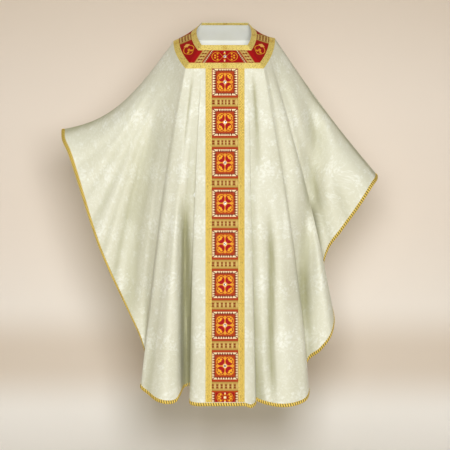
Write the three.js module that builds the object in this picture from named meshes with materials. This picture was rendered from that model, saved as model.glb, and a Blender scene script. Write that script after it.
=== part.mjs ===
// A gothic chasuble as it hangs on a wearer whose right arm is held out a little higher than the left.
// Millimetres, +Z up. The origin is the centre of the neck opening, level with the shoulder seams;
// the front faces -Y. Two lined damask panels meet only along the shoulder seams, so the sides are open.
import * as THREE from 'three';

// ---------------------------------------------------------------- sizes
const orphreyWidth = 88;        // woven red and gold ribbon down the centre
const galloonWidth = 21;        // plain gold ribbon on both sides of every orphrey
const neckBandWidth = 48;       // red part of the neck band
const edgeBraidWidth = 11;      // twisted gold braid round the outer edge
const damaskThickness = 1.2;
const liningThickness = 0.8;
const ribbonThickness = 1.2;
const braidThickness = 3;
const frontHem = -1243;         // height of the hem under the orphrey
const backHem = -1172;
const widthScale = 1;           // spread of the panels to either side
const chestDepth = 185;         // how far the front hangs out from the shoulder seams
const shoulderDepth = 160;      // the same for the back
const armDepth = 58;            // the same over the arms
const motifRepeat = 135;        // one woven square and the bar under it
const motifHeight = 105;
const motifTuck = 6.5;          // how much of the first square is tucked under the neck band
const motifCount = 8;           // whole squares, before the half one at the hem
const crystalDiameter = 7;
const crystalHeight = 3.2;
const crystalSeat = 0.6;        // clearance under a stone
const gap = 0.4;                // clearance between pieces sewn edge to edge
const layerGap = 0.4;           // clearance between pieces sewn one on the other

const panelRows = 9;            // rows of facets between neck band and hem
const columnHalf = orphreyWidth / 2 + galloonWidth;
const bandTotal = neckBandWidth + 2 * galloonWidth;

// Layers of cloth, as heights above the face of the damask.
const layers = {
  lining: [-damaskThickness - layerGap - liningThickness, -damaskThickness - layerGap],
  damask: [-damaskThickness, 0],
  ribbon: [layerGap, layerGap + ribbonThickness],
  braid: [layerGap, layerGap + braidThickness],
};

// ---------------------------------------------------------------- neck opening
// Each corner of the neck edge, and the way the neck band runs out from it per millimetre of its width.
// The edge is wider than the orphrey and its galloons on both sides, and its back corners stand highest.
const vec = (x, y, z) => new THREE.Vector3(x, y, z);
const besideColumn = (room, y, z) => vec(Math.sign(room) * columnHalf + room, y, z);
const neck = {
  seamLeft: { edge: besideColumn(-30, 0, 5), out: vec(-0.856, 0, -0.356) },
  frontLeft: { edge: besideColumn(-12, -98, -43), out: vec(-0.6, -0.467, -0.878) },
  frontRight: { edge: besideColumn(10, -98, -43), out: vec(0.589, -0.467, -0.878) },
  seamRight: { edge: besideColumn(23, 0, 0), out: vec(0.878, 0, -0.2) },
  backLeft: { edge: besideColumn(-11, 74, 38), out: vec(-0.6, 0.56, -0.66) },
  backRight: { edge: besideColumn(11, 74, 38), out: vec(0.6, 0.56, -0.66) },
};

// A straight column of the orphrey crosses the neck band at one x, between the two corners.
function columnTop(left, right, x) {
  const part = (point, other) => (x - point.x) / (other.x - point.x);
  const outer = (corner) => corner.edge.clone().addScaledVector(corner.out, bandTotal);
  const edge = left.edge.clone().lerp(right.edge, part(left.edge, right.edge));
  const rim = outer(left).lerp(outer(right), part(outer(left), outer(right)));
  return { edge, out: rim.sub(edge).divideScalar(bandTotal) };
}

function neckStops(seamLeft, left, right, seamRight) {
  const columns = [-columnHalf, -orphreyWidth / 2, orphreyWidth / 2, columnHalf];
  return [seamLeft, left, ...columns.map((x) => columnTop(left, right, x)), right, seamRight];
}

// ---------------------------------------------------------------- how each panel falls
// Lines of the cloth from neck band to outer edge, from the left shoulder seam round to the right one.
// stop: where the line leaves the neck, counted along the stops above (0 seam, 1 corner, 2 to 5 the
// edges of galloons and orphrey, 6 corner, 7 seam); x and z: where it ends on the outer edge;
// fold: how far that end lies behind (+) or before (-) the general roundness of the panel.
const line = (stop, x, z, fold) => ({ stop, x: x * widthScale, z, fold });
// The flat centre under galloons and orphrey hangs plumb, whatever the width of the panel.
function centreLines(hem, fold) {
  const columns = [-columnHalf, -orphreyWidth / 2, orphreyWidth / 2, columnHalf];
  return columns.map((x, i) => ({ stop: i + 2, x, z: hem, fold }));
}
const frontLines = [
  // over the raised arm, from the tip of the shoulder seam down the open side
  line(0, -547, -323, 0), line(0.05, -546, -350, -6), line(0.11, -525, -400, -10),
  line(0.18, -500, -474, -14), line(0.25, -476, -550, -14), line(0.33, -448, -639, -8),
  line(0.42, -414, -735, 4), line(0.52, -372, -830, 22), line(0.63, -318, -943, 24),
  // behind the large round fold, then round its face
  line(0.76, -277, -1036, 30), line(0.88, -262, -1105, 34), line(1, -272, -1166, 6),
  line(1.11, -281, -1184, -20), line(1.23, -258, -1204, -38), line(1.35, -226, -1228, -48),
  line(1.47, -194, -1236, -44), line(1.57, -164, -1231, -22), line(1.63, -149, -1210, 6),
  // the deep pleat beside the centre
  line(1.69, -132, -1182, 36), line(1.73, -112, -1178, 44), line(1.77, -106, -1198, 12),
  line(1.82, -115, -1238, -20), line(1.9, -94, -1243, -22),
  // the flat centre under the orphrey
  ...centreLines(frontHem, -22),
  line(5.1, 87, -1249, -18), line(5.17, 103, -1238, -4),
  // the right half: a shallow pleat, a round fold, then two folds set back one behind the other
  line(5.22, 100, -1224, 16), line(5.3, 114, -1231, 16), line(5.42, 146, -1241, -6),
  line(5.56, 187, -1247, -24), line(5.7, 230, -1243, -32), line(5.84, 268, -1228, -22),
  line(5.93, 280, -1207, 4), line(6, 268, -1156, 42), line(6.08, 276, -1098, 44),
  line(6.14, 318, -1062, 4), line(6.2, 352, -1018, -6), line(6.25, 365, -972, 14),
  line(6.31, 350, -890, 42), line(6.38, 328, -790, 52), line(6.47, 344, -728, 38),
  line(6.58, 392, -660, 10), line(6.7, 446, -586, -4), line(6.84, 494, -512, -8),
  line(6.94, 511, -485, -5), line(7, 511, -477, 0),
];
const backLines = [
  line(0, -547, -323, 0), line(0.06, -540, -352, -4), line(0.2, -494, -470, 0),
  line(0.36, -436, -640, 10), line(0.55, -368, -820, -6), line(0.77, -296, -985, -16),
  line(1, -252, -1085, 12), line(1.35, -205, -1160, -26), line(1.55, -160, -1182, 4),
  line(1.75, -112, -1180, 22), line(1.9, -88, -1174, -4),
  ...centreLines(backHem, -8),
  line(5.12, 92, -1174, -4), line(5.3, 130, -1184, 20), line(5.5, 182, -1176, -20),
  line(5.72, 232, -1130, 8), line(6, 276, -1062, -20), line(6.22, 318, -940, 14),
  line(6.45, 356, -780, 6), line(6.7, 424, -612, -4), line(6.9, 492, -508, -4), line(7, 511, -477, 0),
];

// The shoulder seams, seen from the front: straight from band to tip but for a sag of their own.
const seamSag = { left: 70, right: 16 };

const front = {
  name: 'front', side: -1, lines: frontLines, depth: chestDepth,
  stops: neckStops(neck.seamLeft, neck.frontLeft, neck.frontRight, neck.seamRight),
};
const back = {
  name: 'back', side: 1, lines: backLines, depth: shoulderDepth,
  stops: neckStops(neck.seamLeft, neck.backLeft, neck.backRight, neck.seamRight),
};

// Between two corners the neck edge is straight. From corner to seam it arches over the shoulder, so
// that front and back run smoothly into each other there.
function neckStop(panel, stop) {
  const i = Math.min(Math.floor(stop), panel.stops.length - 2);
  const [a, b] = [panel.stops[i], panel.stops[i + 1]];
  const part = stop - i;
  let arch = part;
  if (i === 0) arch = part ** 2;
  if (i === panel.stops.length - 2) arch = 1 - (1 - part) ** 2;
  const blend = (from, to) => vec(
    THREE.MathUtils.lerp(from.x, to.x, arch),
    THREE.MathUtils.lerp(from.y, to.y, part),
    THREE.MathUtils.lerp(from.z, to.z, part),
  );
  return { edge: blend(a.edge, b.edge), out: blend(a.out, b.out) };
}

// How much earlier a line runs out sideways than it falls: 0 is straight.
// Cloth that leaves the neck towards a shoulder is carried out over it first.
const earlySpread = [[0, 0], [0.4, 0.15], [0.8, 0.3], [1.3, 0.35], [1.8, 0], [5.1, 0], [5.6, 0.5], [6.1, 0.6],
  [6.5, 0.3], [7, 0]];
function spreadAt(stop) {
  const i = earlySpread.findIndex(([at]) => at >= stop);
  if (i < 1) return 0;
  const [[from, low], [to, high]] = [earlySpread[i - 1], earlySpread[i]];
  return THREE.MathUtils.mapLinear(stop, from, to, low, high);
}

// Height of the shoulder seam above any x.
function seamHeight(x) {
  const corner = x < 0 ? neck.seamLeft : neck.seamRight;
  const start = corner.edge.clone().addScaledVector(corner.out, bandTotal);
  const tip = x < 0 ? frontLines[0] : frontLines[frontLines.length - 1];
  const t = THREE.MathUtils.clamp((x - start.x) / (tip.x - start.x), 0, 1);
  const sag = x < 0 ? seamSag.left : seamSag.right;
  return THREE.MathUtils.lerp(start.z, tip.z, t) - sag * Math.sin(Math.PI * t);
}

// How far the panel hangs out from the plane of the seams: rounded over shoulder and arm, then full.
function fullness(panel, x, z) {
  const drop = Math.max(0, seamHeight(x) - z);
  const spread = 220 + 0.11 * drop;
  const body = (panel.depth - armDepth) * Math.exp(-((x / spread) ** 2));
  return (armDepth + body) * (1 - Math.exp(-drop / 45));
}

// The point of one line at part t of the way from neck band to outer edge.
function fall(panel, cloth, t) {
  const { edge, out } = neckStop(panel, cloth.stop);
  const top = edge.addScaledVector(out, bandTotal);
  const left = cloth.stop < 1;
  const nearSeam = left ? 1 - cloth.stop : Math.max(0, cloth.stop - 6);
  const sag = nearSeam ** 1.5 * (left ? seamSag.left : seamSag.right) * Math.sin(Math.PI * t);
  const x = THREE.MathUtils.lerp(top.x, cloth.x, t + spreadAt(cloth.stop) * t * (1 - t));
  const z = THREE.MathUtils.lerp(top.z, cloth.z, t) - sag;
  const hang = THREE.MathUtils.lerp(fullness(panel, x, z), Math.abs(top.y), (1 - t) ** 3) - cloth.fold * t;
  return vec(x, panel.side * hang, z);
}

// ---------------------------------------------------------------- the grid of one panel
// Rows: four across the neck band (edge, galloon, red band, galloon), then down to the outer edge,
// the last one marking the inner side of the edge braid.
const bandRows = [0, galloonWidth, galloonWidth + neckBandWidth, bandTotal];
const row = { neckEdge: 0, band: 1, outerGalloon: 2, bandRim: 3, braid: 3 + panelRows, hem: 4 + panelRows };

function lineColumn(panel, cloth) {
  const { edge, out } = neckStop(panel, cloth.stop);
  const points = bandRows.map((width) => edge.clone().addScaledVector(out, width));
  const end = fall(panel, cloth, 1);
  const length = end.distanceTo(fall(panel, cloth, 0));
  const braidStart = 1 - edgeBraidWidth / length;
  for (let i = 1; i <= panelRows; i += 1) points.push(fall(panel, cloth, (braidStart * i) / panelRows));
  points.push(end);
  return points;
}

function panelGrid(panel) {
  const points = panel.lines.map((cloth) => lineColumn(panel, cloth));
  const last = points.length - 1;
  const normals = points.map((column, c) => column.map((point, r) => {
    const across = points[Math.min(c + 1, last)][r].clone().sub(points[Math.max(c - 1, 0)][r]);
    const along = column[Math.min(r + 1, row.hem)].clone().sub(column[Math.max(r - 1, 0)]);
    const normal = along.cross(across).multiplyScalar(-panel.side);
    // Both panels turn over at the seam in the same direction, so their cut edges stand face to face.
    if (c === 0 || c === last) normal.y = 0;
    return normal.normalize();
  }));
  return points.map((column, c) => column.map((point, r) => ({ point, normal: normals[c][r] })));
}

front.grid = panelGrid(front);
back.grid = panelGrid(back);

// The columns of a grid between two stops of the neck, both of them lines of the panel.
function columnsBetween(panel, from, to) {
  const at = (stop) => panel.lines.findIndex((cloth) => cloth.stop === stop);
  return panel.grid.slice(at(from), at(to) + 1);
}

// ---------------------------------------------------------------- cloth pieces from the grid
// A closed piece of cloth over part of a grid: two faces at the layer's heights, and a cut edge all round,
// drawn in by half the clearance so that neighbours never touch. The outer face looks towards whoever
// sees its columns run from left to right.
function clothGeometry(columns, firstRow, lastRow, [inner, outer]) {
  const cells = columns.map((column) => column.slice(firstRow, lastRow + 1));
  const lastColumn = cells.length - 1;
  const span = lastRow - firstRow + 1;
  const drawnIn = (c, r) => {
    const place = cells[c][r].point.clone();
    const towards = (next) => {
      place.addScaledVector(next.point.clone().sub(cells[c][r].point).normalize(), gap / 2);
    };
    if (c === 0) towards(cells[1][r]);
    if (c === lastColumn) towards(cells[lastColumn - 1][r]);
    if (r === 0) towards(cells[c][1]);
    if (r === span - 1) towards(cells[c][span - 2]);
    return place;
  };
  const positions = [];
  for (const height of [inner, outer]) {
    cells.forEach((column, c) => column.forEach((cell, r) => {
      positions.push(...drawnIn(c, r).addScaledVector(cell.normal, height).toArray());
    }));
  }
  const outerFace = cells.length * span;
  const index = [];
  const quad = (a, b, c, d) => index.push(a, b, c, a, c, d);
  const at = (c, r) => c * span + r;
  for (let c = 0; c < lastColumn; c += 1) {
    for (let r = 0; r < span - 1; r += 1) {
      const [a, b, d, e] = [at(c, r), at(c, r + 1), at(c + 1, r + 1), at(c + 1, r)];
      quad(a + outerFace, b + outerFace, d + outerFace, e + outerFace);
      index.push(a, d, b, a, e, d);
    }
  }
  const rim = [];
  for (let r = 0; r < span - 1; r += 1) rim.push(at(0, r));
  for (let c = 0; c < lastColumn; c += 1) rim.push(at(c, span - 1));
  for (let r = span - 1; r > 0; r -= 1) rim.push(at(lastColumn, r));
  for (let c = lastColumn; c > 0; c -= 1) rim.push(at(c, 0));
  rim.forEach((a, i) => {
    const b = rim[(i + 1) % rim.length];
    quad(a, b, b + outerFace, a + outerFace);
  });
  const geometry = new THREE.BufferGeometry();
  geometry.setAttribute('position', new THREE.Float32BufferAttribute(positions, 3));
  geometry.setIndex(index);
  return geometry;
}

// ---------------------------------------------------------------- the pieces
const group = new THREE.Group();
const finishes = {
  damask: { color: 0xe6e4d2, roughness: 0.5, metalness: 0 },
  lining: { color: 0xeceee4, roughness: 0.35, metalness: 0 },
  orphrey: { color: 0xb02a18, roughness: 0.6, metalness: 0 },
  galloon: { color: 0xe2b93f, roughness: 0.38, metalness: 0.6 },
  braid: { color: 0xb08a28, roughness: 0.45, metalness: 0.6 },
  crystal: { color: 0xf4f6f8, roughness: 0.05, metalness: 0 },
};

function addPiece(name, finish, geometry) {
  const mesh = new THREE.Mesh(geometry, new THREE.MeshStandardMaterial(finishes[finish]));
  mesh.name = name;
  group.add(mesh);
  return mesh;
}

function addCloth(name, finish, columns, firstRow, lastRow, layer) {
  addPiece(name, finish, clothGeometry(columns, firstRow, lastRow, layers[layer]));
}

// A panel's columns in the order that faces outwards: the back's run from right to left.
const facing = (panel, columns) => (panel.side < 0 ? columns : [...columns].reverse());

for (const panel of [front, back]) {
  const whole = facing(panel, panel.grid);
  const strip = (from, to) => facing(panel, columnsBetween(panel, from, to));
  addCloth(`${panel.name}_panel`, 'damask', whole, row.neckEdge, row.hem, 'damask');
  addCloth(`${panel.name}_lining`, 'lining', whole, row.neckEdge, row.hem, 'lining');
  addCloth(`${panel.name}_edge_braid`, 'braid', whole, row.braid, row.hem, 'braid');
  addCloth(`${panel.name}_orphrey`, 'orphrey', strip(3, 4), row.bandRim, row.braid, 'ribbon');
  addCloth(`${panel.name}_galloon_left`, 'galloon', strip(2, 3), row.bandRim, row.braid, 'ribbon');
  addCloth(`${panel.name}_galloon_right`, 'galloon', strip(4, 5), row.bandRim, row.braid, 'ribbon');
}

// The neck band is four mitred lengths; the side ones run over the shoulder seams, corner to corner.
const reversed = (columns) => [...columns].reverse();
const neckLengths = {
  front: columnsBetween(front, 1, 6),
  right: [...columnsBetween(front, 6, 7), ...reversed(columnsBetween(back, 6, 7)).slice(1)],
  back: reversed(columnsBetween(back, 1, 6)),
  left: [...reversed(columnsBetween(back, 0, 1)), ...columnsBetween(front, 0, 1).slice(1)],
};
for (const [place, columns] of Object.entries(neckLengths)) {
  addCloth(`neck_inner_galloon_${place}`, 'galloon', columns, row.neckEdge, row.band, 'ribbon');
  addCloth(`neck_band_${place}`, 'orphrey', columns, row.band, row.outerGalloon, 'ribbon');
  addCloth(`neck_outer_galloon_${place}`, 'galloon', columns, row.outerGalloon, row.bandRim, 'ribbon');
}

// ---------------------------------------------------------------- crystals
// A faceted stone with a flat back, on the face of the ribbon.
function addCrystal(name, { point, normal }) {
  const [girdle, table] = [crystalDiameter / 2, crystalDiameter / 4];
  const outline = [[0, 0], [girdle, 0], [girdle, crystalHeight / 4], [table, crystalHeight], [0, crystalHeight]];
  const stone = new THREE.LatheGeometry(outline.map(([r, h]) => new THREE.Vector2(r, h)), 8);
  const mesh = addPiece(name, 'crystal', stone);
  mesh.position.copy(point).addScaledVector(normal, layers.ribbon[1] + crystalSeat);
  mesh.quaternion.setFromUnitVectors(vec(0, 1, 0), normal);
}

// The place at a length down the middle of two neighbouring columns, square to the facet that it is on.
function onRibbon([left, right], firstRow, length) {
  const middle = left.map((cell, r) => cell.point.clone().lerp(right[r].point, 0.5));
  const across = right[firstRow].point.clone().sub(left[firstRow].point);
  let rest = length;
  let r = firstRow;
  while (r < middle.length - 2 && rest > middle[r].distanceTo(middle[r + 1])) {
    rest -= middle[r].distanceTo(middle[r + 1]);
    r += 1;
  }
  const along = middle[r + 1].clone().sub(middle[r]).normalize();
  return {
    point: middle[r].clone().addScaledVector(along, rest),
    normal: along.clone().cross(across).normalize(),
  };
}

for (const panel of [front, back]) {
  const centre = facing(panel, columnsBetween(panel, 3, 4));
  addCrystal(`${panel.name}_crystal_neck`, onRibbon(centre, row.band, neckBandWidth / 2));
  for (let i = 0; i < motifCount; i += 1) {
    const place = onRibbon(centre, row.bandRim, motifHeight / 2 - motifTuck + i * motifRepeat);
    addCrystal(`${panel.name}_crystal_${i + 1}`, place);
  }
}

export default group;
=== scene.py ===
# A gothic chasuble of ivory damask with a woven red and gold orphrey, hanging as worn.
import math
import bmesh
import bpy
import numpy as np
from mathutils import Matrix, Vector


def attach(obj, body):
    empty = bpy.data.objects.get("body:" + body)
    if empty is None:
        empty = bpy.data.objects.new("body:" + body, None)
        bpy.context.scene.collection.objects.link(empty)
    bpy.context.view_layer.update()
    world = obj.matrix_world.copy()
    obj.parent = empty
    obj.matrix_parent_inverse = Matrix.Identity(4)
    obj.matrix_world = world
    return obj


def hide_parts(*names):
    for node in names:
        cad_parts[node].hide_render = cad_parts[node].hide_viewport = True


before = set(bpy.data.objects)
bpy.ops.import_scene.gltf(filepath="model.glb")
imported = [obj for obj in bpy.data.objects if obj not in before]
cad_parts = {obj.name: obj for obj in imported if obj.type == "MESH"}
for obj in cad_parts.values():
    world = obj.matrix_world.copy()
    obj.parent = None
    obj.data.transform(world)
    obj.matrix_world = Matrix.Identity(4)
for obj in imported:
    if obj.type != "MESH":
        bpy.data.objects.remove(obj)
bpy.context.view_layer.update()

MM = 0.001

# ---------------------------------------------------------------- sizes, in millimetres
ORPHREY = 88            # woven ribbon down the centre
GALLOON = 21            # plain gold ribbon beside every orphrey
NECK_BAND = 48          # red part of the neck band
BAND = NECK_BAND + 2 * GALLOON
COLUMN = ORPHREY / 2 + GALLOON
BRAID_WIDTH = 13
BRAID_HEIGHT = 3.4
BRAID_OVERHANG = 1.4    # how far the braid stands out past the edge of the cloth
BRAID_SINK = 0.3
BRAID_STEP = 1.6        # length of one facet of the braid
BRAID_SIDES = 12
PANEL_FALL = 1150       # length down a panel under the neck band, for the end of its ribbons
CLOTH_STEP = 10.5       # width of one column of a panel at its outer edge
DAMASK = 0.6            # thickness of the cloths
LINING = 0.4
RIBBON = 0.8
RIBBON_FACE = RIBBON + 0.2     # height of a ribbon's face above the face of the damask
STONE_SEAT = RIBBON + 0.3
EDGE_GAP = 0.4          # between the very edge of the neck and the first ribbon
BINDING = 11            # gold strip inside the back of the neck
LINING_DROP = 1.2       # how far the lining hangs inside the face of the damask
MOTIF_REPEAT = 135      # one woven square and the bar under it
MOTIF_HEIGHT = 105
MOTIF_TUCK = 6.5
MOTIFS = 8
STONE = 8.4
BRAID_TWIST = 8.4
FLOOR = -1.5            # metres
WALL_START, WALL_BEND = 0.3, 0.35

# ---------------------------------------------------------------- how the panels fall
# Stops round the neck: 0 left shoulder seam, 1 corner of the neck band, 2 to 5 the edges of galloons and
# orphrey, 6 corner, 7 right shoulder seam. Lines: stop, then x and z on the outer edge, then how far that
# end lies behind (+) or before (-) the general roundness of the panel.
FRONT_HEM = -1243
FRONT_LINES = [
    (0, -547, -323, 0), (0.05, -546, -350, -6), (0.11, -525, -400, -10), (0.18, -500, -474, -14),
    (0.25, -476, -550, -14), (0.33, -448, -639, -8), (0.42, -414, -735, 4), (0.52, -372, -830, 22),
    (0.63, -318, -943, 24), (0.76, -277, -1036, 30), (0.88, -262, -1105, 34), (1, -272, -1166, 6),
    (1.11, -281, -1184, -20), (1.23, -258, -1204, -38), (1.35, -226, -1228, -48), (1.47, -194, -1236, -44),
    (1.57, -164, -1231, -22), (1.63, -149, -1210, 6), (1.69, -132, -1182, 36), (1.73, -112, -1178, 44),
    (1.77, -106, -1198, 12), (1.82, -115, -1238, -20), (1.9, -94, -1243, -22),
    (2, -COLUMN, FRONT_HEM, -22), (3, -ORPHREY / 2, FRONT_HEM, -22),
    (4, ORPHREY / 2, FRONT_HEM, -22), (5, COLUMN, FRONT_HEM, -22),
    (5.1, 87, -1249, -18), (5.17, 103, -1238, -4), (5.22, 100, -1224, 16), (5.3, 114, -1231, 16),
    (5.42, 146, -1241, -6), (5.56, 187, -1247, -24), (5.7, 230, -1243, -32), (5.84, 268, -1228, -22),
    (5.93, 280, -1207, 4), (6, 268, -1156, 42), (6.08, 276, -1098, 44), (6.14, 318, -1062, 4),
    (6.2, 352, -1018, -6), (6.25, 365, -972, 14), (6.31, 350, -890, 42), (6.38, 328, -790, 52),
    (6.47, 344, -728, 38), (6.58, 392, -660, 10), (6.7, 446, -586, -4), (6.84, 494, -512, -8),
    (6.94, 511, -485, -5), (7, 511, -477, 0),
]
BACK_HEM = -1172
BACK_LINES = [
    (0, -547, -323, 0), (0.06, -540, -352, -4), (0.2, -494, -470, 0), (0.36, -436, -640, 10),
    (0.55, -368, -820, -6), (0.77, -296, -985, -16), (1, -252, -1085, 12), (1.35, -205, -1160, -26),
    (1.55, -160, -1182, 4), (1.75, -112, -1180, 22), (1.9, -88, -1174, -4),
    (2, -COLUMN, BACK_HEM, -8), (3, -ORPHREY / 2, BACK_HEM, -8),
    (4, ORPHREY / 2, BACK_HEM, -8), (5, COLUMN, BACK_HEM, -8),
    (5.12, 92, -1174, -4), (5.3, 130, -1184, 20), (5.5, 182, -1176, -20), (5.72, 232, -1130, 8),
    (6, 276, -1062, -20), (6.22, 318, -940, 14), (6.45, 318, -800, 6), (6.7, 408, -612, -4),
    (6.9, 492, -508, -4), (7, 511, -477, 0),
]
CHEST, SHOULDERS, ARMS = 185, 160, 58      # how far each part hangs out from the plane of the seams
SEAM_SAG = {-1: 70, 1: 16}
# Stops, and how much sooner than evenly their lines spread to either side on the way down the front.
EARLY_SPREAD = np.array([(0, 0), (0.4, 0.3), (0.63, 0.7), (0.76, 0.8), (1, 0.45), (1.11, 0.2), (1.23, 0.1),
                         (1.35, 0.2), (1.5, 0.7), (1.65, 1.3), (1.77, 0.9), (1.85, 0.3), (1.95, 0),
                         (5.1, 0), (5.6, 0.5), (6.1, 0.5), (6.4, 0.2), (7, 0)])



# Corners of the neck edge, and the way the neck band runs out from each per millimetre of its width.
SEAM_LEFT = ((-COLUMN - 30, 0, 5), (-0.856, 0, -0.356))
SEAM_RIGHT = ((COLUMN + 23, 0, 0), (0.878, 0, -0.2))
FRONT_CORNERS = (((-COLUMN - 12, -98, -43), (-0.6, -0.467, -0.878)),
                 ((COLUMN + 10, -98, -43), (0.589, -0.467, -0.878)))
BACK_CORNERS = (((-COLUMN - 11, 74, 38), (-0.6, 0.56, -0.66)),
                ((COLUMN + 11, 74, 38), (0.6, 0.56, -0.66)))


def mix(a, b, t):
    return a + (b - a) * t


def ease(low, high, x):
    t = np.clip((x - low) / (high - low), 0, 1)
    return t * t * (3 - 2 * t)


class Curve:
    """Values joined smoothly; steady ones keep to one direction wherever their values do."""

    def __init__(self, knots, values, steady=False):
        self.knots, self.values = np.asarray(knots, float), np.asarray(values, float)
        self.slopes = np.gradient(self.values, self.knots, axis=0)
        if steady:
            steps = np.diff(self.values) / np.diff(self.knots)
            before, after = steps[:-1], steps[1:]
            both = np.where(before * after > 0, 2 * before * after / (before + after + 1e-12), 0)
            self.slopes = np.concatenate([steps[:1], both, steps[-1:]])

    def __call__(self, at):
        i = np.clip(np.searchsorted(self.knots, at, side="right") - 1, 0, len(self.knots) - 2)
        step = self.knots[i + 1] - self.knots[i]
        s = (at - self.knots[i]) / step
        if self.values.ndim > 1:
            s, step = s[:, None], step[:, None]
        start, end = self.values[i], self.values[i + 1]
        return ((1 + 2 * s) * (1 - s) ** 2 * start + s * (1 - s) ** 2 * step * self.slopes[i]
                + s * s * (3 - 2 * s) * end + s * s * (s - 1) * step * self.slopes[i + 1])


class Panel:
    """The front or the back of the chasuble, as a surface.

    along is a length round the outer edge from the left shoulder tip; down runs from -1 at the neck edge
    over 0 at the lower rim of the neck band to 1 at the outer edge.
    """

    def __init__(self, name, side, lines, corners, depth, folds, spread=np.zeros((1, 2))):
        self.name, self.side, self.depth, self.folds, self.spread = name, side, depth, folds, spread
        table = np.array(lines, float)
        ends = table[:, 1:]
        knots = np.concatenate([[0], np.cumsum(np.linalg.norm(np.diff(ends, axis=0), axis=1))])
        self.length = knots[-1]
        self.stops = Curve(knots, table[:, 0], steady=True)
        self.ends = Curve(knots, ends)
        self.at_stop = dict(zip(table[:, 0], knots))
        self.tips = ends[[0, -1], :2]
        edges, outs = self.neck_stops(corners)
        self.edges, self.outs = edges, outs

    @staticmethod
    def neck_stops(corners):
        (left, left_out), (right, right_out) = [map(np.array, corner) for corner in corners]
        left_rim, right_rim = left + BAND * left_out, right + BAND * right_out
        edges, outs = [SEAM_LEFT[0], left], [SEAM_LEFT[1], left_out]
        for x in (-COLUMN, -ORPHREY / 2, ORPHREY / 2, COLUMN):
            edge = mix(left, right, (x - left[0]) / (right[0] - left[0]))
            rim = mix(left_rim, right_rim, (x - left_rim[0]) / (right_rim[0] - left_rim[0]))
            edges.append(edge)
            outs.append((rim - edge) / BAND)
        edges += [right, SEAM_RIGHT[0]]
        outs += [right_out, SEAM_RIGHT[1]]
        return np.array(edges, float), np.array(outs, float)

    def neck(self, stop):
        """The neck edge and the way out from it; it arches over the shoulder between corner and seam."""
        i = np.clip(np.floor(stop).astype(int), 0, len(self.edges) - 2)
        part = stop - i
        arch = np.where(i == 0, part ** 2, np.where(i == len(self.edges) - 2, 1 - (1 - part) ** 2, part))
        weights = np.stack([arch, part, part], axis=1)
        return (mix(self.edges[i], self.edges[i + 1], weights), mix(self.outs[i], self.outs[i + 1], weights))

    def seam_height(self, x):
        heights = []
        for (edge, out), tip, sag in ((SEAM_LEFT, self.tips[0], SEAM_SAG[-1]),
                                      (SEAM_RIGHT, self.tips[1], SEAM_SAG[1])):
            start = np.array(edge) + BAND * np.array(out)
            t = np.clip((x - start[0]) / (tip[0] - start[0]), 0, 1)
            heights.append(mix(start[2], tip[1], t) - sag * np.sin(math.pi * t))
        return np.where(x < 0, heights[0], heights[1])

    def fullness(self, x, z):
        drop = np.maximum(0, self.seam_height(x) - z)
        spread = 220 + 0.11 * drop
        return (ARMS + (self.depth - ARMS) * np.exp(-(x / spread) ** 2)) * (1 - np.exp(-drop / 45))

    def face(self, along, down):
        """Points on the face of the damask, in millimetres."""
        stop = self.stops(along)
        edge, out = self.neck(stop)
        band = np.minimum(down, 0)[:, None] + 1
        top = edge + out * BAND * band
        t = np.maximum(down, 0)
        end_x, end_z, fold = self.ends(along).T
        near_seam = np.clip(np.maximum(1 - stop, stop - 6), 0, 1)
        sag = near_seam ** 1.5 * np.where(stop < 3, SEAM_SAG[-1], SEAM_SAG[1]) * np.sin(math.pi * t)
        spread = np.interp(stop, self.spread[:, 0], self.spread[:, 1])
        x = mix(top[:, 0], end_x, t + spread * t * (1 - t))
        z = mix(top[:, 2], end_z, t) - sag
        hang = mix(self.fullness(x, z), np.abs(top[:, 1]), (1 - t) ** 3) - fold * t ** 1.4
        hang += self.folds(stop, along, t, near_seam, x, z)
        body = np.stack([x, self.side * hang, z], axis=1)
        return np.where(down[:, None] <= 0, top, body)

    def square(self, along, down):
        """Directions square to the face, pointing outwards."""
        step_along, step_down = 1.0, 0.004
        across = (self.face(np.minimum(along + step_along, self.length), down)
                  - self.face(np.maximum(along - step_along, 0), down))
        fall = (self.face(along, np.minimum(down + step_down, 1))
                - self.face(along, np.maximum(down - step_down, -1)))
        normal = -self.side * np.cross(fall, across)
        at_seam = (along < 0.01) | (along > self.length - 0.01)
        normal[at_seam, 1] = 0
        return normal / np.linalg.norm(normal, axis=1)[:, None]

    def lift(self, along, down, height):
        """Points at a height above the face, in metres."""
        height = np.broadcast_to(np.asarray(height, float), along.shape)
        return (self.face(along, down) + self.square(along, down) * height[:, None]) * MM


# Soft folds that run down the lines: stop, its width in stops, depth behind the face, from and to.
FRONT_FOLDS = [
    (1.4, 0.05, 5, 0.0, 0.22), (5.44, 0.05, 5, 0.0, 0.2), (5.88, 0.08, -8, 0.3, 0.95),
    (6.62, 0.08, -5, 0.1, 0.8), (0.3, 0.07, 4, 0.1, 0.8), (0.16, 0.05, -4, 0.2, 0.9),
]
BACK_FOLDS = [
    (1.5, 0.08, 8, 0.02, 0.8), (5.5, 0.08, 8, 0.02, 0.8), (0.6, 0.12, 10, 0.05, 0.8),
    (6.4, 0.12, 10, 0.05, 0.8), (1.2, 0.1, -6, 0.1, 0.9), (5.8, 0.1, -6, 0.1, 0.9),
]

# Folds of the front that wander across the lines: half width, depth, then x and z down the valley.
FRONT_VALLEYS = [
    (48, 44, ((-225, -170), (-250, -360), (-275, -480), (-300, -620), (-302, -760), (-298, -880),
              (-278, -1000))),
    (16, 36, ((-140, -480), (-136, -700), (-133, -900), (-130, -1060), (-128, -1240))),
    (36, 48, ((250, -130), (287, -260), (303, -353), (292, -527), (275, -663), (262, -817), (262, -960))),
    (18, 14, ((146, -540), (156, -760), (152, -960), (150, -1060), (160, -1240))),
    (12, 7, ((95, -120), (104, -300), (112, -480))),
]


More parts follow.
